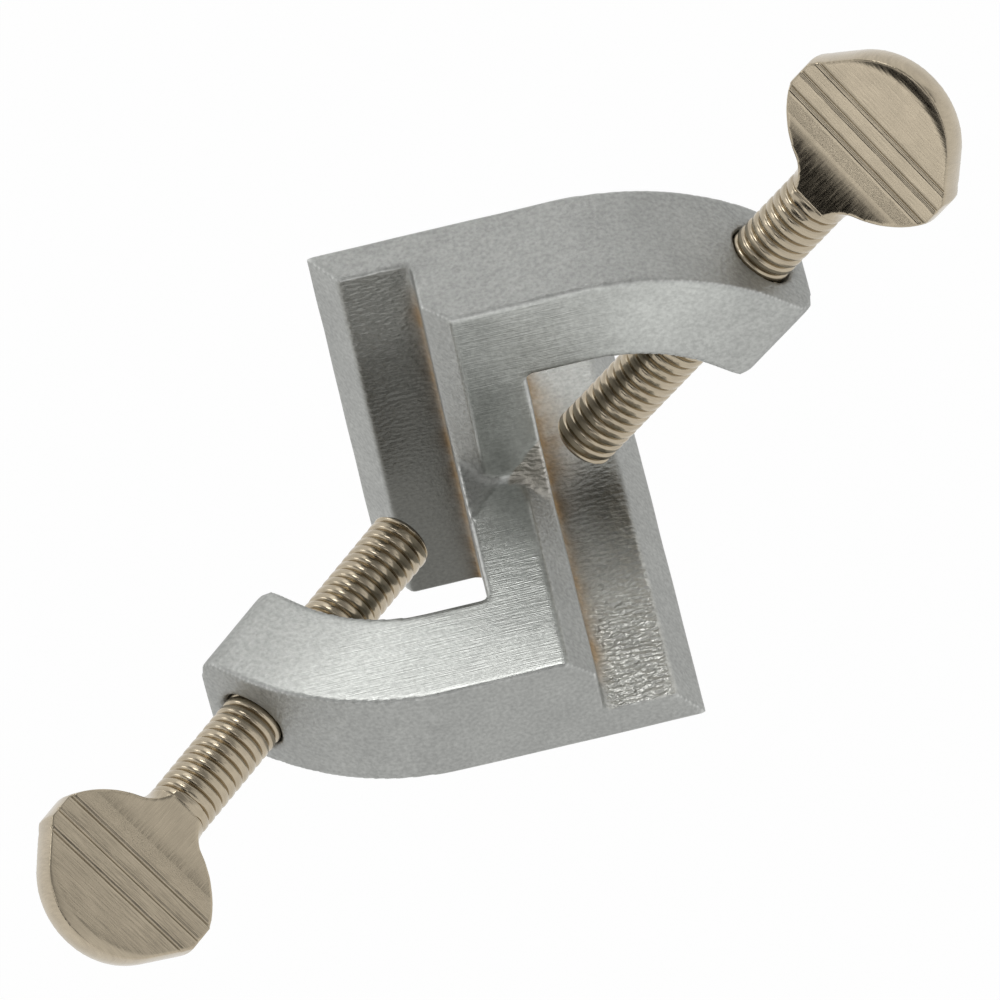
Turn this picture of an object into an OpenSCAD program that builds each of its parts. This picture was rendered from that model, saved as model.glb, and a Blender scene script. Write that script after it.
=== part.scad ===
// Boss head clamp: a cast S-shaped body with two V-grooved rod jaws at right angles,
// each closed by a hook-shaped arm and a thumb screw that presses the rod into its groove.
// Frame: +Z runs up along the stand rod, and the cross rod runs along Y.
// The origin is on the corner line of the stand rod's groove, level with the middle of its hook.

/* [Rod jaws] */
// Width of the spine that parts the two grooves
spine_w = 10.6; // [8:0.1:14]
// Width of a rod seat, from the groove's corner to its lip
seat_w = 8.9; // [7:0.1:12]
// How far the lip's bevelled edge reaches past the seat
lip_bevel = 3.3; // [1:0.1:5]
// Thickness of a seat plate
seat_t = 5; // [3.5:0.1:7]
// Height of the groove's straight side wall
wall_h = 7; // [5:0.1:9]
// Width of the bevel above the side wall
wall_bevel = 3.1; // [1:0.1:5]
// Radius cast into the groove's corner
groove_fillet = 1; // [0.5:0.1:2]
// How far a seat runs past the other jaw
seat_overrun = 19.3; // [14:0.1:22]

/* [Hook arms] */
// Height of a hook's side face above the seat in the same hook
hook_face = 10.3; // [9:0.1:13]
// Height of a hook's outer face above the other seat
hook_top = 41; // [38:0.5:46]
// Thickness of an arm, from its outer to its inner face
arm_t = 13; // [10:0.5:15]
// Distance from the spine's middle to where an arm starts to bend
bend_start = 12.4; // [9:0.1:16]
// Radius of an arm's outer face through the 45 degree bend
bend_r = 34.9; // [30:0.1:36]
// Straight length of an arm past its bend
arm_end = 6.4; // [6:0.1:9]
// Radius of an arm's end across its width
end_crown_r = 22; // [16:1:40]
// Rounding of an arm's end corners across its width
end_round = 3; // [1:0.5:4]
// Rounding of an arm's inner end edge
toe_round = 2.5; // [1:0.5:4]
// Rounding of an arm's outer end edge
heel_round = 1; // [0.5:0.5:2]

/* [Thumb screws] */
// Outer diameter of the screw thread
thread_d = 8; // [7:0.1:8.5]
// Radial running clearance between a thread and its hole
thread_gap = 0.05; // [0.02:0.01:0.1]
// Length of a screw from its tip to the neck of its head
screw_len = 48.4; // [46:0.1:52]
// Bevel on a screw's tip
tip_bevel = 0.7; // [0.3:0.1:1]
// Distance from the cross rod's groove corner to its screw's tip
cross_tip = 7; // [5:0.1:30]
// Distance from the stand rod's groove corner to its screw's tip
stand_tip = 11.6; // [5:0.1:30]
// How far the stand rod's screw sits below the middle of its hook
stand_drop = 1; // [0:0.1:2]
// Turn of the cross rod's screw about its own axis
cross_turn = 45.5; // [0:0.5:360]
// Turn of the stand rod's screw about its own axis
stand_turn = 49.5; // [0:0.5:360]

/* [Thumb heads] */
// Length of a head past its neck
head_len = 21.5; // [20.5:0.1:22.5]
// Width of a head across its grip belt
head_w = 23.8; // [22:0.1:25]
// Thickness of a head's flat faces
head_t = 4.5; // [3.5:0.1:6]
// Radius of a head's far end
crown_r = 10.6; // [10:0.1:11]
// Radius of a head's outline between its neck and its belt
near_r = 13.2; // [12.8:0.1:14]
// Hollow radius between the shank and a head
neck_r = 3; // [1.5:0.1:4]
// Spacing of the grip grooves
grip_pitch = 2.45; // [2:0.05:3]
// Number of grip grooves on each face
grip_count = 3; // [1:1:4]
// Width of a grip groove
grip_w = 0.6; // [0.3:0.05:1]
// Depth of a grip groove
grip_depth = 0.2; // [0.1:0.05:0.4]

/* [Hidden] */

$fn = 96;
spine = spine_w / 2;
lip_x = spine + seat_w;
lip_edge_x = lip_x + lip_bevel;
hook_w = hook_face + seat_t;
bend_z = hook_top - bend_r;
inner_r = bend_r - arm_t;
// The screws run at 45 degrees, halfway across a hook's width, through the groove's corner line
screw_y = -(hook_face - seat_t) / 2;
hole_r = thread_d / 2 + thread_gap;
// Distances along a screw's axis from the groove's corner line to the arm's faces
bend_along = (bend_start - spine + bend_z) / sqrt(2);
arm_outer = bend_along + bend_r;
arm_inner = bend_along + inner_r;
mouth_bevel = 0.6;
// Curves that would only touch cross each other by a hair instead
seam = 0.02;
seam_lap = 0.5;
// The middles of the rounded corners across an arm's end, and where their rounding starts
corner_out = hook_w / 2 - end_round;
corner_along = arm_end - end_crown_r + sqrt(pow(end_crown_r - end_round, 2) - pow(corner_out, 2));
corner_turn = asin(corner_out / (end_crown_r - end_round));
// A head's outline: the middles of its round ends, where its flanks leave the far one, its belt's
// far corner, and the middle of the hollow that joins it to the shank
crown_mid = head_len - crown_r;
near_mid = 14.6;
flank_turn = 53;
belt_end = 12.4;
belt_x = head_w / 2;
shank_r = thread_d / 2;
neck_x = shank_r + neck_r;
neck_z = near_mid - sqrt(pow(near_r + neck_r, 2) - pow(neck_x, 2));
neck_top = near_mid - 1;
// A face of the head rises to the screw's diameter by a hollow curve below the grip grooves
blend_top = 7.7;
blend_foot = -2.3;
blend_rise = (thread_d - head_t) / 2;
blend_r = (pow(blend_top - blend_foot, 2) + pow(blend_rise, 2)) / (2 * blend_rise);
// Where the head's solid meets the plain shank, a little below the foot of that curve
head_foot = blend_foot - 1;
grip_first = 8.6;
// The rough ridge where the two hooks meet, and how far it climbs the side wall
ridge_reach = 5.9;
ridge_rise = 2.6;
ridge_x = 0.3;

// Half a turn about the line that swaps the two jaws
module other_jaw() {
    rotate(180, [0, -1, 1]) children();
}

// Puts the frame's origin on the stand rod groove's corner line, level with its hook's middle
module in_frame() {
    translate([spine, 0, screw_y]) children();
}

// A screw's axis, with its origin on the groove's corner line
module on_screw_axis(shift) {
    translate([spine, screw_y + shift, 0]) rotate([0, 45, 0]) children();
}

// Side outline of an arm's straight end, square to the bend, with both end edges rounded.
// It starts a little way inside the bend, and its faces lie a hair below the bend's.
module arm_end_outline() {
    low = inner_r + seam;
    thick = arm_t - 2 * seam;
    long = arm_end + seam_lap;
    translate([-seam_lap, low]) {
        square([long - toe_round, thick - heel_round]);
        translate([0, toe_round]) square([long, thick - toe_round - heel_round]);
        translate([0, toe_round]) square([long - heel_round, thick - toe_round]);
        translate([long - toe_round, toe_round]) circle(toe_round);
        translate([long - heel_round, thick - heel_round]) circle(heel_round);
    }
}

// Side outline of the hook: the spine, the flat root of the arm, its bend and its end
module hook_outline() {
    translate([-spine, -seat_t]) square([spine_w, hook_top + seat_t]);
    translate([0, hook_top - arm_t]) square([bend_start, arm_t]);
    translate([bend_start, bend_z]) {
        intersection() {
            difference() {
                circle(bend_r, $fn = 180);
                circle(inner_r, $fn = 180);
            }
            polygon([[0, 0], [0, 2 * bend_r], [2 * bend_r, 2 * bend_r]]);
        }
        rotate(-45) arm_end_outline();
    }
}

// What is cut from one corner of an arm's end to round it
module end_corner_cut() {
    reach = 2 * end_round;
    difference() {
        polygon([[0, 0], [reach * cos(corner_turn), reach * sin(corner_turn)], [reach, reach], [0, reach]]);
        circle(end_round + seam);
    }
}

// What is cut from an arm's end across its width: all past a wide arc and two rounded corners
module end_cut() {
    translate([0, screw_y, inner_r - arm_t]) linear_extrude(3 * arm_t) {
        difference() {
            translate([0, -hook_w]) square([2 * arm_end, 2 * hook_w]);
            translate([arm_end - end_crown_r, 0]) circle(end_crown_r, $fn = 180);
        }
        for (side = [-1, 1])
            mirror([0, side < 0 ? 1 : 0]) translate([corner_along, corner_out]) end_corner_cut();
    }
}

// Section of the bevel above a groove's wall
module wall_bevel_outline() {
    bevel_h = hook_face - wall_h;
    polygon([[-1, -1], [wall_bevel + 1, -1], [wall_bevel, 0], [0, bevel_h], [-1, bevel_h]]);
}

// The arm and spine of one hook
module hook() {
    difference() {
        translate([0, seat_t, 0]) rotate([90, 0, 0]) linear_extrude(hook_w) hook_outline();
        translate([bend_start, 0, bend_z]) rotate([0, 45, 0]) end_cut();
        translate([-spine, -hook_face, hook_face]) linear_extrude(2 * hook_top)
            wall_bevel_outline();
    }
}

// The plate that a rod lies on, with its bevelled lip, and the web behind it
module seat() {
    translate([0, 0, -seat_overrun]) linear_extrude(hook_top + seat_overrun)
        polygon([[-lip_edge_x, seat_t], [-lip_x, 0], [0, 0], [0, seat_t]]);
    web_far = seat_overrun - seat_t;
    translate([-spine, 0, 0]) rotate([90, 0, 90]) linear_extrude(spine_w)
        polygon([[seat_t, 0], [seat_t, -seat_overrun], [0, -seat_overrun], [-web_far, -seat_t], [0, 0]]);
}

// The radius cast into the corner of a groove
module corner_fillet() {
    translate([-spine, 0, seat_t - seat_overrun]) linear_extrude(hook_top + seat_overrun - seat_t)
        difference() {
            translate([-groove_fillet, -groove_fillet]) square(groove_fillet + 1);
            translate([-groove_fillet, -groove_fillet]) circle(groove_fillet);
        }
}

// The low wedge that fills the corner between one hook's wall and the other hook's face
module ridge() {
    polyhedron(
        points = [
            [-spine, -hook_face - ridge_reach, hook_face],
            [-ridge_x, -hook_face, hook_face],
            [-spine, -wall_h, hook_face + ridge_rise],
            [-spine, -wall_h, hook_face - 1]
        ],
        faces = [[0, 2, 1], [0, 3, 2], [0, 1, 3], [1, 2, 3]]
    );
}

// The tapped hole through an arm, with its bevelled mouth
module screw_hole(shift) {
    on_screw_axis(shift) {
        translate([0, 0, arm_inner - arm_t / 2]) cylinder(r = hole_r, h = 2 * arm_t);
        translate([0, 0, arm_outer - mouth_bevel])
            cylinder(r1 = hole_r, r2 = hole_r + 2 * mouth_bevel, h = 2 * mouth_bevel);
    }
}

module half_body() {
    hook();
    seat();
    corner_fillet();
    ridge();
}

module clamp_body() {
    color("#a6a8a6") in_frame() difference() {
        union() {
            half_body();
            other_jaw() half_body();
        }
        screw_hole(0);
        other_jaw() screw_hole(stand_drop);
    }
}

// Half of the head's outline, turned about the screw's axis
module head_half_outline() {
    flank = crown_r - seam;
    flank_x = flank * sin(flank_turn);
    flank_z = crown_mid + flank * cos(flank_turn);
    intersection() {
        translate([0, crown_mid]) circle(crown_r);
        translate([0, neck_top]) square([belt_x, head_len]);
    }
    intersection() {
        translate([0, near_mid]) circle(near_r);
        polygon([[0, neck_z], [belt_x, neck_z], [belt_x, belt_end], [flank_x, flank_z], [0, flank_z]]);
    }
    difference() {
        polygon([[0, head_foot], [shank_r, head_foot], [shank_r, neck_z], [neck_x, neck_z], [0, neck_top]]);
        translate([neck_x, neck_z]) circle(neck_r);
    }
}

// What is cut from one side of a head to leave a flat face that swells to the screw's diameter
module face_cut() {
    translate([head_t / 2 + blend_r, head_w, blend_top])
        rotate([90, 0, 0]) cylinder(r = blend_r, h = 2 * head_w, $fn = 180);
    translate([head_t / 2, -head_w, blend_top]) cube([head_w, 2 * head_w, head_len]);
}

module grip_groove() {
    cube([2 * grip_depth, head_w + 2, grip_w], center = true);
}

module thumb_head() {
    difference() {
        rotate_extrude() head_half_outline();
        for (side = [0, 1]) mirror([side, 0, 0]) {
            face_cut();
            for (i = [0 : grip_count - 1])
                translate([head_t / 2, 0, grip_first + i * grip_pitch]) grip_groove();
        }
    }
}

// A thumb screw with its tip at the origin and its head along +Z
module thumb_screw() {
    cylinder(r1 = thread_d / 2 - tip_bevel, r2 = thread_d / 2, h = tip_bevel);
    translate([0, 0, tip_bevel]) cylinder(d = thread_d, h = screw_len + head_foot - tip_bevel);
    translate([0, 0, screw_len]) thumb_head();
}

module cross_rod_screw() {
    color("#a69a86") in_frame() on_screw_axis(0)
        translate([0, 0, cross_tip]) rotate(cross_turn) thumb_screw();
}

module stand_rod_screw() {
    color("#a69a86") in_frame() other_jaw() on_screw_axis(stand_drop)
        translate([0, 0, stand_tip]) rotate(stand_turn) thumb_screw();
}

clamp_body();
cross_rod_screw();
stand_rod_screw();
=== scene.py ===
"""Boss head clamp: a plated S-shaped casting and its two thumb screws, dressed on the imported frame."""
import math

import bmesh
import bpy
from mathutils import Matrix, Vector, noise


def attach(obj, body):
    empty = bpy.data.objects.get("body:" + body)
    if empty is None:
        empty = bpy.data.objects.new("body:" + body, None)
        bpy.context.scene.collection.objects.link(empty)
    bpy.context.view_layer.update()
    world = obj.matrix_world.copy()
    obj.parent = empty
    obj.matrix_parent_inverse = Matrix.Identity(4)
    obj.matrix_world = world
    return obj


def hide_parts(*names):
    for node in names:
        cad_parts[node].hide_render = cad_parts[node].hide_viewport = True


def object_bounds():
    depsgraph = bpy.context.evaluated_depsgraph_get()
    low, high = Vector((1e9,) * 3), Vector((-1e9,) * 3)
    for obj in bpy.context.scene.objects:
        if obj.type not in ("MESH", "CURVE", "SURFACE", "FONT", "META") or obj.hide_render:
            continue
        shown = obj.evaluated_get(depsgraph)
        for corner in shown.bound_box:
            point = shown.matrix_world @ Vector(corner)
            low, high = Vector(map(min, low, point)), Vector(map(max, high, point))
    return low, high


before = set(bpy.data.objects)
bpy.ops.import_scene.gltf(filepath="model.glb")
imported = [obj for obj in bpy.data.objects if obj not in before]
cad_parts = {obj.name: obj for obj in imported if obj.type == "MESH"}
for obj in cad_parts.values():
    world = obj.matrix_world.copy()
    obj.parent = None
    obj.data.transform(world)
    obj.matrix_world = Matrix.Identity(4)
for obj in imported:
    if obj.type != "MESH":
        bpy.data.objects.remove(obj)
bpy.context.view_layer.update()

# ---------------------------------------------------------------------------------------------
# The casting. One piece of malleable iron, cast in a two-part mould, linished on the hooks' side
# faces and nickel plated. It has two V-grooved rod seats at right angles, a spine between them,
# and a hooked arm over each. Its two halves are the same shape, turned half a turn to each other.

MM = 0.001
SPINE = 5.3                # half the spine's width
SEAT_W = 8.9               # seat, from the groove's corner to its lip
LIP_BEVEL = 3.3            # how far the lip's bevelled edge reaches past the seat
SEAT_T = 5.0
WALL_H = 7.0               # the groove's straight side wall, and the bevel above it
WALL_BEVEL = 3.1
SEAT_OVERRUN = 19.3        # how far a seat runs past the other jaw
HOOK_FACE = 10.3           # a hook's side face above the seat in the same hook
HOOK_TOP = 41.0            # a hook's outer face above the other seat
ARM_T = 13.0
BEND_START = 12.4          # from the spine's middle to where an arm bends, and its outer radius there
BEND_R = 34.9
ARM_END = 6.4              # straight length past the bend
END_CROWN_R = 22.0         # an arm's end across its width, and the rounding of its corners
END_ROUND = 3.0
TOE_ROUND = 2.5            # rounding of an arm's inner and outer end edges
HEEL_ROUND = 1.0
THREAD_R = 4.0
HOLE_R = THREAD_R + 0.15   # a little wide, so that the grain of the skin's mesh clears the screw
MOUTH_BEVEL = 0.6
CLEAR = 5.0                # how far a cutter reaches past what it cuts
OVERLAP = 0.5              # how far the solids that are melted together run into each other
GROOVE_FILLET = 1.0
STAND_DROP = 1.0           # the stand rod's screw sits this far below the middle of its hook
RIDGE_REACH = 5.9          # the low wedge where one hook's wall meets the other hook's face
RIDGE_RISE = 2.6
RIDGE_X = 0.3
INNER_R = BEND_R - ARM_T
BEND_Z = HOOK_TOP - BEND_R
HOOK_W = HOOK_FACE + SEAT_T
SCREW_Y = -(HOOK_FACE - SEAT_T) / 2
ARM_INNER = (BEND_START - SPINE + BEND_Z) / math.sqrt(2) + INNER_R
# The frame's origin is on the stand rod groove's corner line, level with its hook's middle
TO_FRAME = Matrix.Scale(MM, 4) @ Matrix.Translation((SPINE, 0, SCREW_Y))
# Half a turn about the line midway between Y and -Z swaps the two jaws
OTHER_JAW = Matrix.Rotation(math.pi, 4, Vector((0, -1, 1)).normalized())
IDENTITY = Matrix.Identity(4)
ON_ARM = Matrix.Translation((BEND_START, 0, BEND_Z)) @ Matrix.Rotation(math.radians(45), 4, "Y")
CROSS_AXIS = Matrix.Translation((SPINE, SCREW_Y, 0)) @ Matrix.Rotation(math.radians(45), 4, "Y")
STAND_AXIS = OTHER_JAW @ Matrix.Translation((0, STAND_DROP, 0)) @ CROSS_AXIS
# These stand an outline up: its own x, y and depth become X, Z, Y or Y, Z, X
ALONG_Y = Matrix(((1, 0, 0, 0), (0, 0, 1, 0), (0, 1, 0, 0), (0, 0, 0, 1)))
ALONG_X = Matrix(((0, 0, 1, 0), (1, 0, 0, 0), (0, 1, 0, 0), (0, 0, 0, 1)))
RIDGE = [(-SPINE, -HOOK_FACE - RIDGE_REACH, HOOK_FACE), (-RIDGE_X, -HOOK_FACE, HOOK_FACE),
         (-SPINE, -WALL_H, HOOK_FACE + RIDGE_RISE), (-SPINE, -WALL_H, HOOK_FACE - 1)]
VOXEL = 0.42               # grain of the finished skin's mesh
EDGE_SMOOTHING = 2         # passes of smoothing over every edge, the arms' ends and the inner corner
END_SMOOTHING = 8
CORNER_SMOOTHING = 14
END_START = 2.5            # where an arm's rounder end starts, past its bend, and how soon it is full
END_FADE = 2.0
END_SLACK = 3.0            # how far inside an arm's inner face its end is still smoothed
CORNER_REACH = 3.2         # how far the inner corner's soft fillet reaches


def arc(centre, radius, start, end, steps):
    """Points of an arc from one angle to the other, in degrees."""
    angles = [math.radians(start + (end - start) * i / steps) for i in range(steps + 1)]
    return [(centre[0] + radius * math.cos(a), centre[1] + radius * math.sin(a)) for a in angles]


def turned(points, degrees, shift=(0, 0)):
    """Points of an outline turned about its origin, then shifted."""
    c, s = math.cos(math.radians(degrees)), math.sin(math.radians(degrees))
    return [(c * x - s * y + shift[0], s * x + c * y + shift[1]) for x, y in points]


def solid(name, bm, place=IDENTITY):
    """Puts a closed mesh in the scene, with its faces pointing out."""
    bm.transform(place)
    bmesh.ops.recalc_face_normals(bm, faces=bm.faces)
    if bm.calc_volume(signed=True) < 0:
        bmesh.ops.reverse_faces(bm, faces=bm.faces)
    mesh = bpy.data.meshes.new(name)
    bm.to_mesh(mesh)
    bm.free()
    obj = bpy.data.objects.new(name, mesh)
    bpy.context.collection.objects.link(obj)
    return obj


def prism(outline, low, high, place=IDENTITY):
    """A solid in millimetres: an outline drawn out from low to high."""
    bm = bmesh.new()
    face = bm.faces.new([bm.verts.new((x, y, low)) for x, y in outline])
    drawn = bmesh.ops.extrude_face_region(bm, geom=[face])["geom"]
    far = [corner for corner in drawn if isinstance(corner, bmesh.types.BMVert)]
    bmesh.ops.translate(bm, verts=far, vec=(0, 0, high - low))
    return solid("prism", bm, place)


def finished(obj):
    """Replaces an object's mesh by what its modifiers make of it, and drops them."""
    graph = bpy.context.evaluated_depsgraph_get()
    mesh = bpy.data.meshes.new_from_object(obj.evaluated_get(graph))
    obj.modifiers.clear()
    obj.data = mesh
    return obj


def modified(obj, kind, **settings):
    """Adds one modifier with its settings and applies it."""
    step = obj.modifiers.new(kind.lower(), kind)
    for name, value in settings.items():
        setattr(step, name, value)
    return finished(obj)


def combine(obj, others, operation):
    """Joins solids to an object or cuts them from it, one by one."""
    for other in others:
        modified(obj, "BOOLEAN", operation=operation, solver="EXACT", object=other)
        bpy.data.objects.remove(other)
    return obj


def hook_outline():
    """Side outline of the spine and its arm, in the X-Z plane."""
    bend = (BEND_START, BEND_Z)
    end = turned(
        arc((ARM_END - TOE_ROUND, INNER_R + TOE_ROUND), TOE_ROUND, -90, 0, 8)
        + arc((ARM_END - HEEL_ROUND, BEND_R - HEEL_ROUND), HEEL_ROUND, 0, 90, 6), -45, bend)
    return ([(-SPINE, -SEAT_T), (SPINE, -SEAT_T), (SPINE, HOOK_TOP - ARM_T)]
            + arc(bend, INNER_R, 90, 45, 24) + end + arc(bend, BEND_R, 45, 90, 24)
            + [(-SPINE, HOOK_TOP)])


def lathe(profile, steps, place=IDENTITY):
    """A solid turned about Z from points of radius and height that start and end on the axis."""
    bm = bmesh.new()
    angles = [2 * math.pi * i / steps for i in range(steps)]
    rings = [[bm.verts.new((r * math.cos(a), r * math.sin(a), z)) for a in (angles if r > 0 else [0.0])]
             for r, z in profile]
    for low, high in zip(rings, rings[1:]):
        for i in range(steps):
            corners = [low[i % len(low)], low[(i + 1) % len(low)],
                       high[(i + 1) % len(high)], high[i % len(high)]]
            bm.faces.new(list(dict.fromkeys(corners)))
    return solid("lathe", bm, place)


def half_cuts(place, axis):
    """What is taken off one hook: the bevel above its wall, its end's corners and its tapped hole."""
    x, y = -SPINE, -HOOK_FACE
    bevel = [(x - 1, y - 1), (x + WALL_BEVEL + 1, y - 1), (x + WALL_BEVEL, y), (x, -WALL_H), (x - 1, -WALL_H)]
    out = HOOK_W / 2 - END_ROUND
    turn = math.degrees(math.asin(out / (END_CROWN_R - END_ROUND)))
    along = ARM_END - END_CROWN_R + math.sqrt((END_CROWN_R - END_ROUND) ** 2 - out ** 2)
    past = 4 * END_ROUND
    end = (arc((along, -out), END_ROUND, -90, -turn, 8)
           + arc((ARM_END - END_CROWN_R, 0), END_CROWN_R, -turn, turn, 16)[1:-1]
           + arc((along, out), END_ROUND, turn, 90, 8)
           + [(along, HOOK_W), (past, HOOK_W), (past, -HOOK_W), (along, -HOOK_W)])
    rim, flare = ARM_INNER + ARM_T - MOUTH_BEVEL, 3 * MOUTH_BEVEL
    hole = [(0, ARM_INNER - CLEAR), (HOLE_R, ARM_INNER - CLEAR), (HOLE_R, rim),
            (HOLE_R + flare, rim + flare), (0, rim + flare)]
    return [prism(bevel, HOOK_FACE, HOOK_TOP + CLEAR, place),
            prism(end, INNER_R - CLEAR, BEND_R + CLEAR, place @ ON_ARM @ Matrix.Translation((0, SCREW_Y, 0))),
            lathe(hole, 64, axis)]


def half_casting(place, axis):
    """The solids of one hook with its seat, its web and the low ridge at the crossing."""
    lip = SPINE + SEAT_W
    seat = [(-lip - LIP_BEVEL, SEAT_T), (-lip, 0), (0, 0), (0, SEAT_T)]
    fillet = [(OVERLAP, -GROOVE_FILLET), (OVERLAP, OVERLAP), (-GROOVE_FILLET, OVERLAP)]
    fillet += arc((-GROOVE_FILLET, -GROOVE_FILLET), GROOVE_FILLET, 90, 0, 6)
    fillet = [(x - SPINE, y) for x, y in fillet]
    web = [(SEAT_T, 0), (SEAT_T, -SEAT_OVERRUN), (0, -SEAT_OVERRUN), (SEAT_T - SEAT_OVERRUN, -SEAT_T), (0, 0)]
    bm = bmesh.new()
    corners = [bm.verts.new(c) for c in RIDGE]
    for face in ((0, 2, 1), (0, 3, 2), (0, 1, 3), (1, 2, 3)):
        bm.faces.new([corners[i] for i in face])
    hook = prism(hook_outline(), -HOOK_FACE, SEAT_T, place @ ALONG_Y)
    return [combine(hook, half_cuts(place, axis), "DIFFERENCE"),
            prism(seat, -SEAT_OVERRUN, HOOK_TOP, place),
            prism(fillet, SEAT_T - SEAT_OVERRUN, HOOK_TOP - OVERLAP, place),
            prism(web, -SPINE, SPINE, place @ ALONG_X),
            solid("ridge", bm, place)]


# The solids overlap, and the remesh melts them into one skin
bm = bmesh.new()
for part in half_casting(IDENTITY, CROSS_AXIS) + half_casting(OTHER_JAW, STAND_AXIS):
    bm.from_mesh(part.data)
    bpy.data.objects.remove(part)
casting = bpy.data.objects.new("plated_casting", bpy.data.meshes.new("plated_casting"))
bpy.context.collection.objects.link(casting)
bm.to_mesh(casting.data)
bm.free()
modified(casting, "REMESH", mode="VOXEL", voxel_size=VOXEL, use_smooth_shade=True)
modified(casting, "SMOOTH", factor=0.5, iterations=EDGE_SMOOTHING)
# The arms' ends were knocked rounder in tumbling than the other edges
ends = casting.vertex_groups.new(name="ends")
for vertex in casting.data.vertices:
    for jaw in (ON_ARM.inverted(), ON_ARM.inverted() @ OTHER_JAW.inverted()):
        along = (jaw @ vertex.co).x
        if along > END_START and (jaw @ vertex.co).z > INNER_R - END_SLACK:
            ends.add([vertex.index], min(1.0, (along - END_START) / END_FADE), "REPLACE")
modified(casting, "SMOOTH", factor=0.5, iterations=END_SMOOTHING, vertex_group="ends")
# The inner corner where the two hooks' faces meet was cast as a soft fillet
corner = casting.vertex_groups.new(name="inner_corner")
for vertex in casting.data.vertices:
    reach = math.hypot(vertex.co.y + HOOK_FACE, vertex.co.z - HOOK_FACE)
    if abs(vertex.co.x) < SPINE - 0.4 and reach < CORNER_REACH:
        corner.add([vertex.index], min(1.0, 2 * (1 - reach / CORNER_REACH)), "REPLACE")
modified(casting, "SMOOTH", factor=0.5, iterations=CORNER_SMOOTHING, vertex_group="inner_corner")

# Where the skin is rough from the mould, where it was linished, where it is stained brown, and where shade is
# painted on it
THIN_STAIN = 0.7           # how far rust creeps from a groove's corner, and where it has bled
BLED_STAIN = 2.1
BLED_MIDDLE = -2.0         # where along the stand rod's groove it has bled, and how far
BLED_REACH = 13.0
COARSE_GRAIN = 1.5         # width of the mould's coarse grain, and how far it stands up
COARSE_RISE = 0.08
WAVE = 8.0                 # width and height of the casting's slow unevenness
WAVE_RISE = 0.06
WEAR_HIGHLIGHT_FROM = 0.1            # how sharply the skin turns where wear and its painted highlight start to show, and where they are full
WEAR_HIGHLIGHT_TO = 0.3


def near(value, target, width):
    """1 where a value is at its target, falling to 0 at the given distance."""
    return max(0.0, 1 - abs(value - target) / width)


def ramp(value, low, high):
    """0 below low and 1 above high, smooth between."""
    t = min(1.0, max(0.0, (value - low) / (high - low)))
    return t * t * (3 - 2 * t)


def skin(p, n, bled):
    """How rough, linished and stained the casting is at a point of one half, with its normal, and how much
    shade is painted on it.
    """
    # The seat and the groove's wall, each known by its place and by the way it faces
    on_seat = ramp(-n.y, 0.5, 0.9) * near(p.y, 0, 0.8) * ramp(-p.x, SPINE - 0.5, SPINE + 0.3)
    on_wall = ramp(-n.x, 0.5, 0.9) * near(p.x, -SPINE, 0.8) * ramp(p.y, -HOOK_FACE, -WALL_H)
    # The ridge at the crossing, on the groove's side of the line along its foot
    foot = (p.y + HOOK_FACE) * (SPINE - RIDGE_X) - (p.x + RIDGE_X) * RIDGE_REACH
    facet = ramp(foot, -0.6, 0.6) * ramp(HOOK_FACE + 4 - p.z, 0, 3)
    ridge = facet * ramp(n.z, 0.1, 0.3) * ramp(p.z, HOOK_FACE - 1, HOOK_FACE) * ramp(1 - p.x, 0, 2)
    ridge *= ramp(p.x, -SPINE - 0.8, -SPINE)
    # The hook's two side faces, where the belt bore less towards the arm's end
    side = ramp(abs(n.y), 0.6, 0.95) * max(near(p.y, -HOOK_FACE, 0.8), near(p.y, SEAT_T, 0.8))
    side *= 1 - 0.65 * ramp((ON_ARM.inverted() @ p).x, -14, 2)
    # The hammered grain, and with it its lighter colour, grows towards the top of the seat: a real change of
    # grain, and the seat painted lighter towards its top
    grain = (1 if bled else 0.65) * (0.35 + 0.65 * ramp(p.z, 4, 28))
    # Shade painted on the seat: the cross rod's seat darker all along, less so near its top end, and the
    # stand rod's seat darker in a band about its middle
    grey = 0.75 * near(p.z, 7, 17) if bled else 1 - 0.3 * ramp(p.z, 22, 34)
    # Rust creeps out from the groove's corner, patchy along it and gone near the arm
    corner = math.hypot(p.x + SPINE, p.y)
    patches = noise.noise(p * 0.3) + 0.4 * noise.noise(p * 1.3)
    creep = THIN_STAIN + (BLED_STAIN - THIN_STAIN) * bled * near(p.z, BLED_MIDDLE, BLED_REACH)
    brown = math.exp(-max(0.0, corner - 0.4) / creep) * (0.5 + 0.5 * ramp(patches, -0.5, 0.5))
    brown *= ramp(-p.x, SPINE - 1, SPINE - 0.3) * ramp(-p.y, -1, 0) * ramp(HOOK_TOP - p.z, 2, 9)
    rough = max(on_seat * grain, 0.5 * on_wall * near(p.z, 13, 7), 0.7 * bled * ridge)
    linished = side * (1 - ridge)
    stain = max(brown, 0.18 * bled * ridge)
    # Painted shade: on the seats, and on the ridge's facets
    painted_shade = max(on_seat * grey, ridge * (0.5 - 0.1 * bled))
    return rough, linished, stain, painted_shade


turn_back = OTHER_JAW.to_3x3()
masks = {name: [] for name in ("rough", "linished", "stain", "painted_shade")}
moved = []
for vertex in casting.data.vertices:
    p, n = vertex.co.copy(), vertex.normal.copy()
    both = [skin(p, n, 0), skin(turn_back @ p, turn_back @ n, 1)]
    for mask, pair in zip(masks.values(), zip(*both)):
        mask.append(max(pair))
    wrinkle = Vector((0.6 * p.x, p.y, p.z)) / COARSE_GRAIN
    grain = noise.noise(wrinkle) + 0.5 * noise.noise(2 * wrinkle)
    moved.append(p + n * (masks["rough"][-1] * COARSE_RISE * grain + WAVE_RISE * noise.noise(p / WAVE)))
for vertex, spot in zip(casting.data.vertices, moved):
    vertex.co = spot
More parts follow.
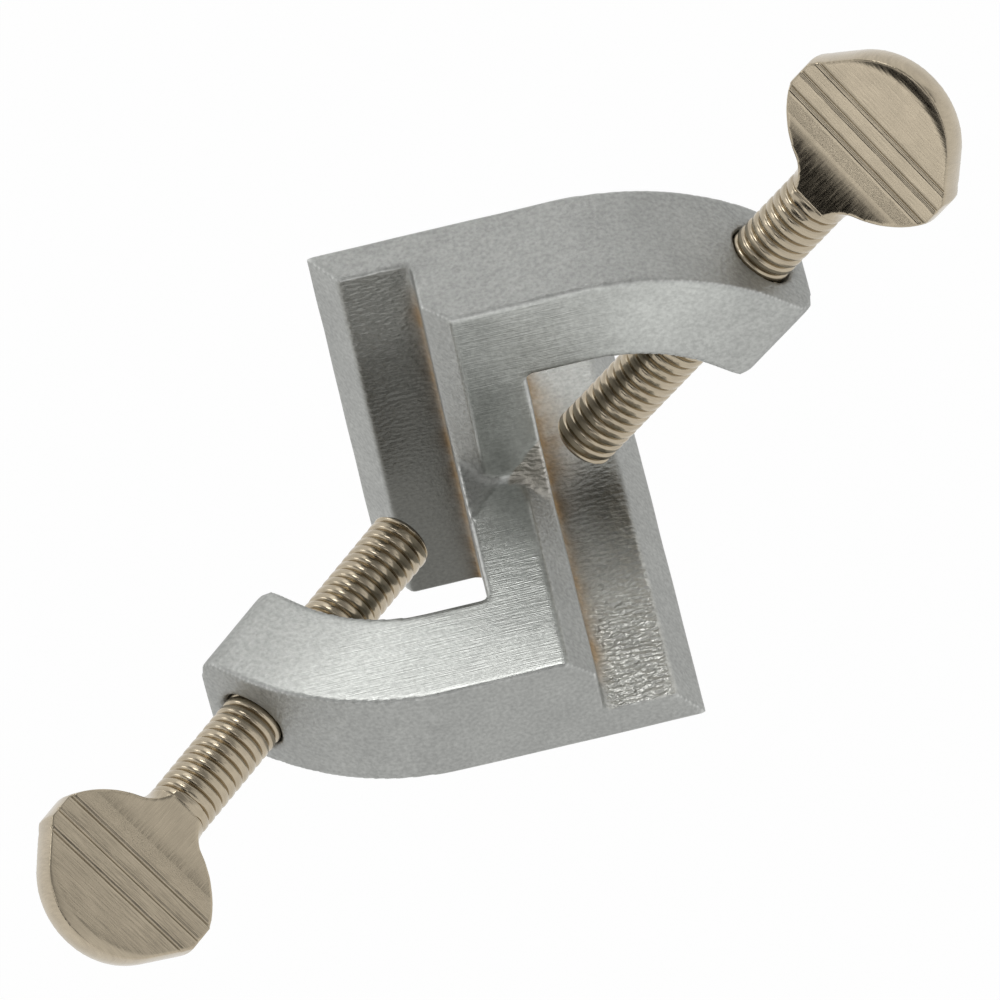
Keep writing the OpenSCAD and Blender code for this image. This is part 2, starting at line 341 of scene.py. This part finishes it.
# Edges that stand proud are worn glossier, and a highlight is painted on them in a lighter colour
bm = bmesh.new()
bm.from_mesh(casting.data)
bm.normal_update()
masks["worn"] = []
for vertex in bm.verts:
    ways = [(edge.other_vert(vertex).co - vertex.co).normalized() for edge in vertex.link_edges]
    bends = [way.dot(vertex.normal) for way in ways]
    masks["worn"].append(ramp(-sum(bends) / len(bends), WEAR_HIGHLIGHT_FROM, WEAR_HIGHLIGHT_TO))
bm.free()
for name, mask in masks.items():
    casting.data.attributes.new(name, "FLOAT", "POINT").data.foreach_set("value", mask)


def linear(code):
    """A linear colour from its sRGB hex code."""
    parts = [int(code[i:i + 2], 16) / 255 for i in (1, 3, 5)]
    return [c / 12.92 if c <= 0.04045 else ((c + 0.055) / 1.055) ** 2.4 for c in parts] + [1.0]


def add(tree, kind, feeds={}, **settings):
    """Adds a node with its settings, and feeds its sockets: a node stands for its first output."""
    made = tree.nodes.new(kind)
    for name, value in settings.items():
        setattr(made, name, value)
    for socket, value in feeds.items():
        if isinstance(value, bpy.types.Node):
            value = value.outputs[0]
        if isinstance(value, bpy.types.NodeSocket):
            tree.links.new(value, made.inputs[socket])
        else:
            made.inputs[socket].default_value = value
    return made


def material(name):
    """A new material with its tree cleared."""
    made = bpy.data.materials.new(name)
    made.use_nodes = True
    made.node_tree.nodes.clear()
    return made, made.node_tree


# Nickel plated casting: satin where it was blasted, brushed where it was linished on a belt, and hammered and
# sparkling where the mould's sand was left, with brown rust bleeding in the grooves. Shade is painted darker
# on the seats and the ridge, and a highlight is painted on the proud edges.
SATIN = "#b0b1ae"
LINISHED = "#c2c4c0"
HAMMERED = "#cdcdc7"
# Grey of the shade painted on the seats and the ridge
PAINTED_SHADE_GREY = "#73736e"
# Lighter colour of the highlight painted on proud edges
WEAR_AND_HIGHLIGHT = "#d9dad7"
RUST = "#c4a579"
# Darker rust, laid where shade is painted on the rust
SHADED_RUST = "#50412f"
BLAST_GRAIN = 0.5          # width of the blasted grain, and how deep it is
BLAST_DEEP = 0.16
SAND_GRAIN = 0.7           # width of the sand mould's grain, and how deep it is
SAND_DEEP = 0.45
BELT_LINE = 0.17           # spacing of the belt's scratches, and how deep they are
BELT_DEEP = 0.04
CLOUD = 6.0                # width of the plating's slow changes of tone
GLOSS_LOW = 0.52           # roughness of the satin plating, from patch to patch
GLOSS_HIGH = 0.6

plated, tree = material("nickel_plated_casting")
place = add(tree, "ShaderNodeTexCoord").outputs["Object"]
rough, linished, stain, painted_shade, worn = (
    add(tree, "ShaderNodeAttribute", attribute_name=name).outputs["Fac"] for name in masks)
clouds = add(tree, "ShaderNodeTexNoise", {"Vector": place, "Scale": 1 / (CLOUD * MM), "Detail": 4.0})
blast = add(tree, "ShaderNodeTexNoise", {"Vector": place, "Scale": 1 / (BLAST_GRAIN * MM), "Detail": 2.0})
leather = add(tree, "ShaderNodeMapping", {"Vector": place, "Scale": (0.6, 1.3, 1.3)})
sand = add(tree, "ShaderNodeTexNoise", {
    "Vector": leather, "Scale": 1 / (SAND_GRAIN * MM), "Detail": 1.0, "Roughness": 0.35})
belt = add(tree, "ShaderNodeMapping", {"Vector": place, "Scale": (0.04, 1.0, 1.0)})
lines = add(tree, "ShaderNodeTexNoise", {"Vector": belt, "Scale": 1 / (BELT_LINE * MM), "Detail": 2.0})
# Each finish is laid over the last where its mask is strong, and so are the painted shade and the painted
# edge highlight; the rust is painted darker where the painted shade falls
colour = linear(SATIN)
rust_shade = add(tree, "ShaderNodeMath", {0: painted_shade, 1: 0.9}, operation="MULTIPLY")
rust = add(tree, "ShaderNodeMix", {0: rust_shade, 6: linear(RUST), 7: linear(SHADED_RUST)}, data_type="RGBA")
for mask, over in ((linished, linear(LINISHED)), (rough, linear(HAMMERED)), (painted_shade, linear(PAINTED_SHADE_GREY)),
                   (worn, linear(WEAR_AND_HIGHLIGHT)), (stain, rust.outputs[2])):
    colour = add(tree, "ShaderNodeMix", {0: mask, 6: colour, 7: over}, data_type="RGBA").outputs[2]
patchy = add(tree, "ShaderNodeMapRange", {0: clouds, 1: 0.3, 2: 0.7, 3: 0.9, 4: 1.08})
grainy = add(tree, "ShaderNodeMapRange", {0: blast, 1: 0.3, 2: 0.7, 3: 0.87, 4: 1.13})
shade = add(tree, "ShaderNodeMath", {0: patchy, 1: grainy}, operation="MULTIPLY")
uneven = add(tree, "ShaderNodeVectorMath", {0: colour, "Scale": shade}, operation="SCALE")
# The belt, the mould's grain and wear leave it glossier, and rust leaves it duller
gloss = add(tree, "ShaderNodeMapRange", {0: clouds, 1: 0.3, 2: 0.7, 3: GLOSS_LOW, 4: GLOSS_HIGH})
for mask, change in ((linished, -0.24), (rough, -0.22), (stain, 0.35), (worn, -0.12)):
    gloss = add(tree, "ShaderNodeMath", {0: mask, 1: change, 2: gloss}, operation="MULTIPLY_ADD")
metal = add(tree, "ShaderNodeMath", {0: stain, 1: -0.3, 2: 1.0}, operation="MULTIPLY_ADD")
unground = add(tree, "ShaderNodeMath", {0: linished, 1: -0.6, 2: 0.7}, operation="MULTIPLY_ADD")
blasted = add(tree, "ShaderNodeBump", {"Strength": unground, "Distance": BLAST_DEEP * MM, "Height": blast})
hammered = add(tree, "ShaderNodeBump", {
    "Strength": rough, "Distance": SAND_DEEP * MM, "Height": sand, "Normal": blasted})
brushed = add(tree, "ShaderNodeBump", {
    "Strength": linished, "Distance": BELT_DEEP * MM, "Height": lines, "Normal": hammered})
shader = add(tree, "ShaderNodeBsdfPrincipled", {
    "Base Color": uneven, "Metallic": metal, "Roughness": gloss, "Normal": brushed})
add(tree, "ShaderNodeOutputMaterial", {"Surface": shader})
casting.data.materials.append(plated)
casting.data.transform(TO_FRAME)
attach(casting, "clamp_body")
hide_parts("clamp_body")

# ---------------------------------------------------------------------------------------------
# The two thumb screws. Each is one piece of steel: a rolled 5/16 inch thread with a bevelled tip,
# and a flat round head pressed from the same bar, its faces grooved for grip, then nickel plated
# and brushed.

SCREW_LEN = 48.4           # from the tip to the neck of the head
TIP_BEVEL = 0.7
CROSS_TIP = 7.0            # from the groove's corner to the tip
STAND_TIP = 11.6
CROSS_TURN = 45.5          # how far each screw is turned about its own axis, in degrees
STAND_TURN = 49.5
HEAD_LEN = 21.5            # past its neck
HEAD_W = 23.8              # across its grip belt
HEAD_T = 4.5               # across its flat faces
CROWN_R = 10.6             # the head's round far end
NEAR_R = 13.2              # its outline between neck and belt, and how far up that arc's middle is
NEAR_MID = 14.6
NECK_R = 3.0               # the hollow between the shank and the head
BELT_END = 12.4            # the belt's far corner
BLEND_TOP = 7.7            # where the hollow curve from a flat face down to the shank starts and ends
BLEND_FOOT = -2.3
GRIP_FIRST = 8.6           # the grip groove nearest the neck
GRIP_PITCH = 2.45
GRIP_COUNT = 3
FLANK_TURN = 53.0          # where the head's flanks leave its round far end, from the end's middle
GRIP_W = 0.6
GRIP_DEPTH = 0.2
PITCH = 1.4
THREAD_DEPTH = 0.5         # the plating has filled the valleys and rounded the crests
VALLEY = 4.0               # how narrow the thread's valleys are beside its round crests
THREAD_SIDES = 48          # columns round the thread, and rows along one turn of it
THREAD_ROWS = 12
THREAD_SPARE = 12.0        # extra length of thread before it is trimmed, and how much is at the tip
THREAD_LEAD = 4.0
WELD = 0.001               # corners closer than this are one
PLAIN_SHANK = 0.1          # the head's own plain shank, below its neck
HEAD_VOXEL = 0.16          # grain of a finished head's mesh
HEAD_SMOOTHING = 3
ROLL_FROM = 12.0           # the faces roll off past this far from a point near the neck
ROLL_TO = 15.0
ROLL_POINT = 7.0
ROLL = 0.2                 # share of the thickness lost at the far rim


def size_inputs(tree, sizes):
    """Names a tree's inputs for the sizes of what it makes, and gives its geometry an output."""
    for name, value in sizes.items():
        kind = "NodeSocketInt" if isinstance(value, int) else "NodeSocketFloat"
        tree.interface.new_socket(name, in_out="INPUT", socket_type=kind).default_value = value
    tree.interface.new_socket("Geometry", in_out="OUTPUT", socket_type="NodeSocketGeometry")
    return add(tree, "NodeGroupInput").outputs


def grown(name, tree, sizes):
    """A plain mesh object of what a Geometry Nodes tree makes with the given sizes."""
    obj = bpy.data.objects.new(name, bpy.data.meshes.new(name))
    bpy.context.collection.objects.link(obj)
    step = obj.modifiers.new(name, "NODES")
    step.node_group = tree
    for item in tree.interface.items_tree:
        if item.in_out == "INPUT":
            step[item.identifier] = sizes[item.name]
    return finished(obj)


def thread_tree(coating, sizes):
    """A rolled thread as a grid wound into a helix, one column round for each side."""
    tree = bpy.data.node_groups.new("rolled_thread", "GeometryNodeTree")
    size = size_inputs(tree, sizes)
    columns = add(tree, "ShaderNodeMath", {0: size["Sides"], 1: 1.0}, operation="ADD")
    rows = add(tree, "ShaderNodeMath", {0: size["Turns"], 1: size["Rows"]}, operation="MULTIPLY")
    grid = add(tree, "GeometryNodeMeshGrid", {
        "Size X": 1.0, "Size Y": 1.0, "Vertices X": columns, "Vertices Y": rows})
    at = add(tree, "ShaderNodeSeparateXYZ", {0: add(tree, "GeometryNodeInputPosition")}).outputs
    # The grid's X is the way round, and its row gives the height in turns
    round_turn = add(tree, "ShaderNodeMath", {0: at[0], 1: 0.5}, operation="ADD")
    last_row = add(tree, "ShaderNodeMath", {0: rows, 1: 1.0}, operation="SUBTRACT")
    share = add(tree, "ShaderNodeMath", {0: at[1], 1: 0.5}, operation="ADD")
    nearly = add(tree, "ShaderNodeMath", {0: share, 1: last_row}, operation="MULTIPLY")
    row = add(tree, "ShaderNodeMath", {0: nearly}, operation="ROUND")
    height = add(tree, "ShaderNodeMath", {0: row, 1: size["Rows"]}, operation="DIVIDE")
    # The radius falls from a round crest into a narrow valley once a turn
    phase = add(tree, "ShaderNodeMath", {0: height}, operation="FRACT")
    swing = add(tree, "ShaderNodeMath", {0: phase, 1: 2.0, 2: -1.0}, operation="MULTIPLY_ADD")
    valley = add(tree, "ShaderNodeMath", {0: swing}, operation="ABSOLUTE")
    narrow = add(tree, "ShaderNodeMath", {0: valley, 1: VALLEY}, operation="POWER")
    cut = add(tree, "ShaderNodeMath", {0: narrow, 1: size["Depth"]}, operation="MULTIPLY")
    crest = add(tree, "ShaderNodeMath", {0: size["Radius"], 1: cut}, operation="SUBTRACT")
    # The first and last rows shrink to the axis and close the rod
    past_first = add(tree, "ShaderNodeMath", {0: row, 1: 0.5}, operation="GREATER_THAN")
    final = add(tree, "ShaderNodeMath", {0: last_row, 1: 0.5}, operation="SUBTRACT")
    before_last = add(tree, "ShaderNodeMath", {0: row, 1: final}, operation="LESS_THAN")
    inside = add(tree, "ShaderNodeMath", {0: past_first, 1: before_last}, operation="MULTIPLY")
    radius = add(tree, "ShaderNodeMath", {0: crest, 1: inside}, operation="MULTIPLY")
    angle = add(tree, "ShaderNodeMath", {0: round_turn, 1: 2 * math.pi}, operation="MULTIPLY")
    cosine = add(tree, "ShaderNodeMath", {0: angle}, operation="COSINE")
    sine = add(tree, "ShaderNodeMath", {0: angle}, operation="SINE")
    x = add(tree, "ShaderNodeMath", {0: radius, 1: cosine}, operation="MULTIPLY")
    y = add(tree, "ShaderNodeMath", {0: radius, 1: sine}, operation="MULTIPLY")
    climb = add(tree, "ShaderNodeMath", {0: height, 1: round_turn}, operation="ADD")
    z = add(tree, "ShaderNodeMath", {0: climb, 1: size["Pitch"]}, operation="MULTIPLY")
    helix = add(tree, "ShaderNodeCombineXYZ", {0: x, 1: y, 2: z})
    wound = add(tree, "GeometryNodeSetPosition", {"Geometry": grid, "Position": helix})
    joined = add(tree, "GeometryNodeMergeByDistance", {"Geometry": wound, "Distance": WELD})
    real = add(tree, "GeometryNodeRealizeInstances", {0: joined})
    coated = add(tree, "GeometryNodeSetMaterial", {"Geometry": real, "Material": coating})
    add(tree, "NodeGroupOutput", {0: coated})
    return tree


def grip_tree(coating, sizes):
    """The bars that cut the grip grooves into both faces."""
    tree = bpy.data.node_groups.new("grip_grooves", "GeometryNodeTree")
    size = size_inputs(tree, sizes)
    bar = add(tree, "ShaderNodeCombineXYZ", {0: size["Deep"], 1: size["Long"], 2: size["Wide"]})
    cube = add(tree, "GeometryNodeMeshCube", {"Size": bar})
    step = add(tree, "ShaderNodeCombineXYZ", {2: size["Pitch"]})
    both = add(tree, "GeometryNodeJoinGeometry")
    for side in (-1, 1):
        across = add(tree, "ShaderNodeMath", {0: size["Face"], 1: side}, operation="MULTIPLY")
        start = add(tree, "ShaderNodeCombineXYZ", {0: across, 2: size["First"]})
        line = add(tree, "GeometryNodeMeshLine", {
            "Count": size["Count"], "Start Location": start, "Offset": step})
        bars = add(tree, "GeometryNodeInstanceOnPoints", {"Points": line, "Instance": cube})
        tree.links.new(bars.outputs[0], both.inputs[0])
    real = add(tree, "GeometryNodeRealizeInstances", {0: both})
    coated = add(tree, "GeometryNodeSetMaterial", {"Geometry": real, "Material": coating})
    add(tree, "NodeGroupOutput", {0: coated})
    return tree


def head_profile():
    """The head's half outline, from its plain shank to its far end, as radius and height."""
    neck_x = THREAD_R + NECK_R
    neck_z = NEAR_MID - math.sqrt((NEAR_R + NECK_R) ** 2 - neck_x ** 2)
    crown_mid = HEAD_LEN - CROWN_R
    belt = HEAD_W / 2
    leaves = math.degrees(math.atan2(NEAR_MID - neck_z, -neck_x))
    belt_start = -math.degrees(math.acos(belt / NEAR_R))
    return ([(0, -PLAIN_SHANK), (THREAD_R, -PLAIN_SHANK)]
            + arc((neck_x, neck_z), NECK_R, 180, leaves, 8)
            + arc((0, NEAR_MID), NEAR_R, leaves - 180, belt_start, 14)[1:]
            + [(belt, BELT_END)]
            + arc((0, crown_mid), CROWN_R, 90 - FLANK_TURN, 90, 12)[:-1] + [(0, HEAD_LEN)])


CUTTER_OUT = 30.0          # how far out, how far down and how far to each side the cutters reach
CUTTER_LOW = -12.0
CUTTER_HALF = 20.0


def face_cutters(inset, top):
    """What leaves the head's flat faces, which swell to the shank by a hollow curve."""
    face, rise = HEAD_T / 2 - inset, THREAD_R - HEAD_T / 2
    hollow = ((BLEND_TOP - BLEND_FOOT) ** 2 + rise ** 2) / (2 * rise)
    low = math.degrees(math.asin((BLEND_TOP - BLEND_FOOT + 1) / hollow))
    outline = arc((face + hollow, BLEND_TOP), hollow, 180 + low, 180, 16)
    outline += [(face, top), (CUTTER_OUT, top), (CUTTER_OUT, CUTTER_LOW)]
    return [prism([(side * x, z) for x, z in outline], -CUTTER_HALF, CUTTER_HALF, ALONG_Y)
            for side in (-1, 1)]


# Nickel plate over brushed steel: a warm pale yellow-grey. The fine lines of brushing run along
# the grip grooves and round the thread, and along the screw where the head was ground down to it.
NICKEL = "#b6aa95"
BRUSH_LINE = 0.16          # spacing of the brushed lines, and how deep they are
BRUSH_DEEP = 0.016
SWELL_NEAR = 0.8           # how far below the first grip groove the lines start to turn, and have turned
SWELL_FAR = 2.5
PLATE_CLOUD = 3.0          # width of the plate's slow changes of gloss

nickel, tree = material("brushed_nickel_plate")
place = add(tree, "ShaderNodeAttribute", attribute_name="own_place").outputs["Vector"]
across = add(tree, "ShaderNodeMapping", {"Vector": place, "Scale": (0.1, 0.06, 1.0)})
along = add(tree, "ShaderNodeMapping", {"Vector": place, "Scale": (0.1, 1.0, 0.08)})
height = add(tree, "ShaderNodeSeparateXYZ", {0: place}).outputs[2]
on_swell = add(tree, "ShaderNodeMapRange", {
    0: height, 1: GRIP_FIRST - SWELL_NEAR, 2: GRIP_FIRST - SWELL_FAR, 3: 0.0, 4: 1.0})
on_head = add(tree, "ShaderNodeMath", {0: height, 1: 0.0}, operation="GREATER_THAN")
ground = add(tree, "ShaderNodeMath", {0: on_swell, 1: on_head}, operation="MULTIPLY")
way = add(tree, "ShaderNodeMix", {0: ground, 4: across, 5: along}, data_type="VECTOR")
clouds = add(tree, "ShaderNodeTexNoise", {"Vector": place, "Scale": 1 / PLATE_CLOUD, "Detail": 3.0})
lines = add(tree, "ShaderNodeTexNoise", {"Vector": way.outputs[1], "Scale": 1 / BRUSH_LINE, "Detail": 3.0})
patchy = add(tree, "ShaderNodeMapRange", {0: clouds, 1: 0.3, 2: 0.7, 3: 0.94, 4: 1.06})
streaky = add(tree, "ShaderNodeMapRange", {0: lines, 1: 0.3, 2: 0.7, 3: 0.91, 4: 1.08})
shade = add(tree, "ShaderNodeMath", {0: patchy, 1: streaky}, operation="MULTIPLY")
plate = add(tree, "ShaderNodeVectorMath", {0: linear(NICKEL)[:3], "Scale": shade}, operation="SCALE")
gloss = add(tree, "ShaderNodeMapRange", {0: lines, 1: 0.3, 2: 0.7, 3: 0.15, 4: 0.25})
brushed = add(tree, "ShaderNodeBump", {"Strength": 0.6, "Distance": BRUSH_DEEP * MM, "Height": lines})
shader = add(tree, "ShaderNodeBsdfPrincipled", {
    "Base Color": plate, "Metallic": 1.0, "Roughness": gloss, "Normal": brushed})
add(tree, "ShaderNodeOutputMaterial", {"Surface": shader})

thread_sizes = {"Turns": int((SCREW_LEN + THREAD_SPARE) / PITCH), "Sides": THREAD_SIDES, "Rows": THREAD_ROWS,
                "Pitch": PITCH, "Radius": THREAD_R, "Depth": THREAD_DEPTH}
grip_sizes = {"Count": GRIP_COUNT, "First": GRIP_FIRST, "Pitch": GRIP_PITCH, "Face": HEAD_T / 2,
              "Deep": 2 * GRIP_DEPTH, "Wide": GRIP_W, "Long": HEAD_W + 2}
thread_nodes = thread_tree(nickel, thread_sizes)
grip_nodes = grip_tree(nickel, grip_sizes)


def thumb_screw(name, body, axis, tip, turn):
    """One thumb screw in its place, riding on its body."""
    rod = grown("rod", thread_nodes, thread_sizes)
    bm = bmesh.new()
    bm.from_mesh(rod.data)
    bmesh.ops.holes_fill(bm, edges=[e for e in bm.edges if e.is_boundary], sides=0)
    bpy.data.objects.remove(rod)
    rod = solid("rod", bm, Matrix.Translation((0, 0, -SCREW_LEN - THREAD_LEAD)))
    # The thread is trimmed to its bevelled tip, and to a narrower root that stays inside the head
    over = THREAD_R + 0.1
    root = THREAD_R - 0.5
    envelope = lathe([(0, -SCREW_LEN), (THREAD_R - TIP_BEVEL, -SCREW_LEN),
                      (over, -SCREW_LEN + over - THREAD_R + TIP_BEVEL),
                      (over, 0), (root, 0.6), (root, 3), (0, 3)], THREAD_SIDES)
    combine(envelope, face_cutters(0.02, 10), "DIFFERENCE")
    combine(rod, [envelope], "INTERSECT")
    screw = combine(lathe(head_profile(), 96), face_cutters(0, HEAD_LEN + CLEAR), "DIFFERENCE")
    bars = grown("bars", grip_nodes, grip_sizes)
    combine(screw, [bars], "DIFFERENCE")
    modified(screw, "REMESH", mode="VOXEL", voxel_size=HEAD_VOXEL, use_smooth_shade=True)
    modified(screw, "SMOOTH", factor=0.5, iterations=HEAD_SMOOTHING)
    for vertex in screw.data.vertices:
        out = math.hypot(vertex.co.y, vertex.co.z - ROLL_POINT)
        vertex.co.x *= 1 - ROLL * ramp(out, ROLL_FROM, ROLL_TO) ** 2
    combine(screw, [rod], "UNION")
    screw.name = name
    screw.data.materials.clear()
    screw.data.materials.append(nickel)
    screw.data.polygons.foreach_set("material_index", [0] * len(screw.data.polygons))
    screw.data.polygons.foreach_set("use_smooth", [True] * len(screw.data.polygons))
    own = screw.data.attributes.new("own_place", "FLOAT_VECTOR", "POINT")
    own.data.foreach_set("vector", [c for vertex in screw.data.vertices for c in vertex.co])
    screw.data.transform(TO_FRAME @ axis @ Matrix.Translation((0, 0, tip + SCREW_LEN))
                         @ Matrix.Rotation(math.radians(turn), 4, "Z"))
    screw.data.set_sharp_from_angle(angle=math.radians(50))
    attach(screw, body)
    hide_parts(body)


thumb_screw("cross_screw", "cross_rod_screw", CROSS_AXIS, CROSS_TIP, CROSS_TURN)
thumb_screw("stand_screw", "stand_rod_screw", STAND_AXIS, STAND_TIP, STAND_TURN)

# ---------------------------------------------------------------------------------------------
# The studio: a matt white floor well below the held clamp, a white tent round it that is open to
# the dark room high up, lit and black cards that the metal reflects, and one soft lamp.

FLOOR_SIZE = 6.0
FLOOR_DROP = 0.12
FLOOR_WHITE = 0.97         # share of the floor that stays plain white for the eye

bm = bmesh.new()
bmesh.ops.create_grid(bm, x_segments=1, y_segments=1, size=FLOOR_SIZE / 2)
floor = solid("floor", bm, Matrix.Translation((0, 0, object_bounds()[0][2] - FLOOR_DROP)))
sweep, tree = material("matt_white_floor")
rays = add(tree, "ShaderNodeLightPath").outputs
seen = add(tree, "ShaderNodeMath", {0: rays["Is Camera Ray"], 1: rays["Is Glossy Ray"]}, operation="MAXIMUM")
seen = add(tree, "ShaderNodeMath", {0: seen, 1: rays["Is Transmission Ray"]}, operation="MAXIMUM")
share = add(tree, "ShaderNodeMath", {0: seen, 1: FLOOR_WHITE}, operation="MULTIPLY")
paper = add(tree, "ShaderNodeBsdfDiffuse", {"Color": linear("#f4f4f4")})
glow = add(tree, "ShaderNodeEmission", {"Strength": 1.0})
mixed = add(tree, "ShaderNodeMixShader", {0: share, 1: paper, 2: glow})
add(tree, "ShaderNodeOutputMaterial", {"Surface": mixed})
floor.data.materials.append(sweep)

# Each card the metal reflects: where it stands, how wide it is in degrees to its full strength and
# to its edge, and how bright. A later card covers an earlier one.
CARDS = [
    ((0.01, 0.65, 0.76), 8, 13, 1.5),        # the window over the back, and the bright one above it
    ((0.0, 0.32, 0.95), 5, 11, 5.0),
    ((-0.85, -0.52, 0.06), 5, 9, 0.6),       # what the upper head's faces see, from flat to far rim
    ((-0.77, -0.6, 0.19), 3, 8, 1.6),
    ((-0.58, -0.66, 0.47), 13, 19, 0.0),
    ((-0.26, -0.54, 0.8), 5, 11, 1.5),
    ((0.0, -0.8, 0.6), 9, 14, 0.1),          # a near-black card below the lens
    ((0.84, -0.1, 0.53), 3, 7, 0.9),         # what the lower head's faces see
    ((0.74, -0.28, 0.605), 3, 6, 0.3),
    ((0.9, 0.3, 0.3), 6, 12, 0.2)]
TENT_WHITE = 0.9           # brightness of the tent, and of the dark room above it
ROOM_DARK = 0.35

world = bpy.data.worlds.new("white_tent")
world.use_nodes = True
tree = world.node_tree
tree.nodes.clear()
toward = add(tree, "ShaderNodeTexCoord").outputs["Generated"]
height = add(tree, "ShaderNodeSeparateXYZ", {0: toward}).outputs[2]
level = add(tree, "ShaderNodeMapRange", {0: height, 1: 0.6, 2: 0.85, 3: TENT_WHITE, 4: ROOM_DARK},
            interpolation_type="SMOOTHSTEP")
for centre, inner, outer, strength in CARDS:
    facing = add(tree, "ShaderNodeVectorMath", {0: toward, 1: Vector(centre).normalized()},
                 operation="DOT_PRODUCT")
    edge, full = math.cos(math.radians(outer)), math.cos(math.radians(inner))
    inside = add(tree, "ShaderNodeMapRange", {0: facing.outputs[1], 1: edge, 2: full, 3: 0.0, 4: 1.0},
                 interpolation_type="SMOOTHSTEP")
    level = add(tree, "ShaderNodeMix", {0: inside, 2: level, 3: strength})
light = add(tree, "ShaderNodeBackground", {"Color": (1, 1, 1, 1), "Strength": level})
add(tree, "ShaderNodeOutputWorld", {"Surface": light})
bpy.context.scene.world = world

lamp = bpy.data.objects.new("left_lamp", bpy.data.lights.new("left_lamp", "AREA"))
lamp.data.size = 0.4
lamp.data.energy = 1.0
lamp.location = (-1.0, 0.4, 0.7)
lamp.rotation_euler = Vector(lamp.location).to_track_quat("Z", "Y").to_euler()
bpy.context.collection.objects.link(lamp)

CAMERA_PLACE = (-9.32, -709.8, 828.4)        # in the casting's own millimetres
CAMERA_RIGHT = (0.97336, -0.17931, -0.14287)
CAMERA_UP = (0.22914, 0.74005, 0.63232)
CAMERA_BACK = (-0.00765, -0.64821, 0.76142)

camera = bpy.data.objects.new("camera", bpy.data.cameras.new("camera"))
bpy.context.collection.objects.link(camera)
looks = Matrix((CAMERA_RIGHT, CAMERA_UP, CAMERA_BACK)).transposed()
camera.matrix_world = Matrix.Translation(TO_FRAME @ Vector(CAMERA_PLACE)) @ looks.to_4x4()
camera.data.lens = 318.1
camera.data.sensor_width = 36
camera.data.clip_end = 10
bpy.context.scene.camera = camera
bpy.context.scene.view_settings.view_transform = "Standard"
